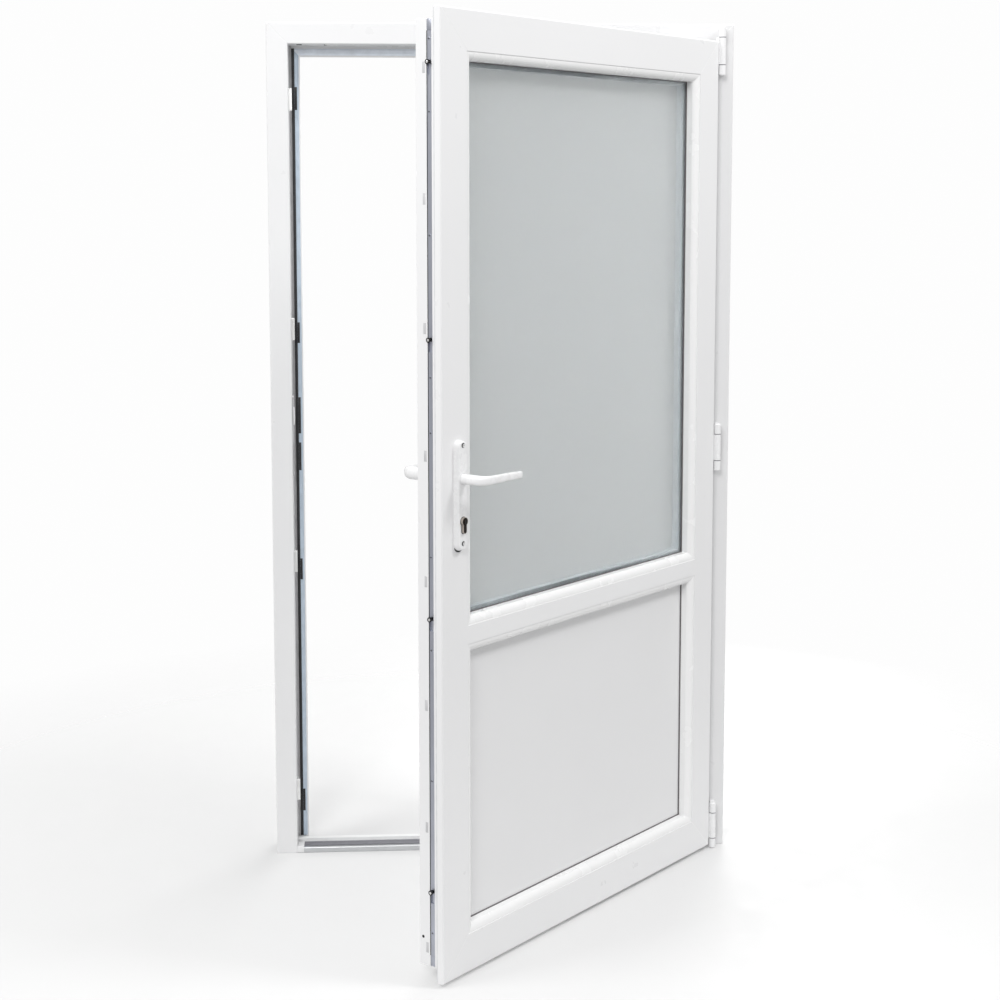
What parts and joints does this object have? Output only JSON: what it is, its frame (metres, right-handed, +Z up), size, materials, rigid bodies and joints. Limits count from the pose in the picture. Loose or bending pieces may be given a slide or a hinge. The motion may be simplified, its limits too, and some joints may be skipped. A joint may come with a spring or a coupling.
{
  "type": "exterior door",
  "caption": "White plastic exterior door, half glazed, hinged in its outer frame with a low threshold, lever handle and multipoint lock.",
  "frame": {"origin": "middle of the underside of the threshold, halfway through the frame's depth", "axes": "+Z up, -Y towards the side that the leaf opens to, +X towards the hinges"},
  "size_m": [1.1, 0.8732, 2],
  "materials": {
    "frame_plastic": "smooth white plastic profile, satin gloss",
    "leaf_plastic": "smooth white plastic profile, satin gloss",
    "bead_plastic": "smooth bright white plastic bead",
    "panel_plastic": "smooth white plastic faced panel",
    "clear_glass": "clear float glass",
    "frosted_glass": "frosted glass, grey white",
    "spacer_metal": "mill aluminium spacer bar",
    "threshold_metal": "satin anodised aluminium",
    "dark_rubber": "dark rubber seal",
    "grey_rubber": "blue grey rubber seal",
    "lock_steel": "zinc plated steel",
    "keep_metal": "silver coated zinc",
    "handle_metal": "white powder coat",
    "cylinder_metal": "nickel plated",
    "hinge_metal": "white powder coat"
  },
  "bodies": {
    "frame": {"lock_jamb": "frame_plastic", "hinge_jamb": "frame_plastic", "frame_head": "frame_plastic", "threshold": "threshold_metal", "threshold_tread": "dark_rubber", "threshold_upstand": "bead_plastic", "lock_jamb_seal": "grey_rubber", "hinge_jamb_seal": "grey_rubber", "head_seal": "grey_rubber", "security_keeps": "keep_metal", "main_strike": "lock_steel", "hinge_frame_knuckles": "hinge_metal", "hinge_pins": "hinge_metal", "hinge_washers": "dark_rubber"},
    "leaf": {"lock_stile": "leaf_plastic", "hinge_stile": "leaf_plastic", "leaf_top_rail": "leaf_plastic", "leaf_bottom_rail": "leaf_plastic", "mid_rail": "leaf_plastic", "glass_bead_left": "bead_plastic", "glass_bead_right": "bead_plastic", "glass_bead_top": "bead_plastic", "glass_bead_bottom": "bead_plastic", "panel_bead_left": "bead_plastic", "panel_bead_right": "bead_plastic", "panel_bead_top": "bead_plastic", "panel_bead_bottom": "bead_plastic", "glass_gasket": "dark_rubber", "panel_gasket": "dark_rubber", "front_pane": "clear_glass", "rear_pane": "frosted_glass", "glass_spacer": "spacer_metal", "lower_panel": "panel_plastic", "leaf_seal": "dark_rubber", "lock_faceplate": "lock_steel", "hinge_leaf_knuckles": "hinge_metal", "inner_handle_plate": "handle_metal", "outer_handle_plate": "handle_metal", "lock_cylinder": "cylinder_metal"},
    "handle": {"inner_lever": "handle_metal", "outer_lever": "handle_metal", "spindle": "lock_steel"},
    "lock_bar": {"drive_rod": "lock_steel", "locking_cams": "lock_steel"}
  },
  "joints": [
    {"name": "leaf_swing", "type": "hinge", "parent": "frame", "child": "leaf", "pos_m": [0.519, -0.063, 0.9965], "axis": [0, 0, 1], "range_deg": [-48.3, 51.7]},
    {"name": "lever_turn", "type": "hinge", "parent": "leaf", "child": "handle", "pos_m": [-0.13317, -0.79047, 1.04], "axis": [-0.7466, 0.6652, 0], "range_deg": [-40, 40], "stiffness_Nm_per_rad": 1.5},
    {"name": "cam_slide", "type": "slide", "parent": "leaf", "child": "lock_bar", "axis": [0, 0, -1], "range_m": [0, 0.02]}
  ]
}
